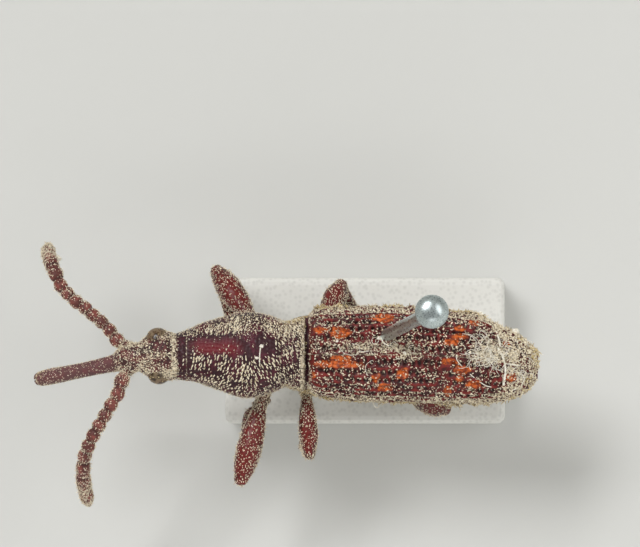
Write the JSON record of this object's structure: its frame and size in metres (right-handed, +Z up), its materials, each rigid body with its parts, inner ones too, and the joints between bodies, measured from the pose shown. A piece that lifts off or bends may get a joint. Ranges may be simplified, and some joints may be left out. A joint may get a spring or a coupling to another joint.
{
  "type": "pinned straight-snouted weevil specimen",
  "caption": "Dried long-snouted beetle with beaded feelers and ridged wing cases, held by an insect pin over a small foam base.",
  "frame": {"origin": "centre of the foam base's underside", "axes": "+X from the snout to the tail, +Y to the beetle's right, +Z up"},
  "size_m": [0.016, 0.0084, 0.0149],
  "materials": {
    "cuticle": "dark maroon-brown cuticle with pale dust and small bristles",
    "antenna": "reddish-brown beads of cuticle with pale dust",
    "eye": "smooth, glossy brown",
    "pin": "drawn steel wire, softly polished",
    "foam": "pale closed-cell foam"
  },
  "bodies": {
    "root": {"head": "cuticle", "rostrum": "cuticle", "eye_left": "eye", "eye_right": "eye", "antenna_left": "antenna", "antenna_right": "antenna", "prothorax": "cuticle", "thorax": "cuticle", "abdomen": "cuticle", "elytron_left": "cuticle", "elytron_right": "cuticle", "leg_fore_left_coxa": "cuticle", "leg_fore_left_femur": "cuticle", "leg_fore_left_tibia": "cuticle", "leg_fore_left_tarsus": "cuticle", "leg_fore_right_coxa": "cuticle", "leg_fore_right_femur": "cuticle", "leg_fore_right_tibia": "cuticle", "leg_fore_right_tarsus": "cuticle", "leg_mid_left_coxa": "cuticle", "leg_mid_left_femur": "cuticle", "leg_mid_left_tibia": "cuticle", "leg_mid_left_tarsus": "cuticle", "leg_mid_right_coxa": "cuticle", "leg_mid_right_femur": "cuticle", "leg_mid_right_tibia": "cuticle", "leg_mid_right_tarsus": "cuticle", "leg_hind_left_coxa": "cuticle", "leg_hind_left_femur": "cuticle", "leg_hind_left_tibia": "cuticle", "leg_hind_left_tarsus": "cuticle", "leg_hind_right_coxa": "cuticle", "leg_hind_right_femur": "cuticle", "leg_hind_right_tibia": "cuticle", "leg_hind_right_tarsus": "cuticle", "pin_upper": "pin", "pin_lower": "pin", "stand_base": "foam"}
  },
  "joints": []
}
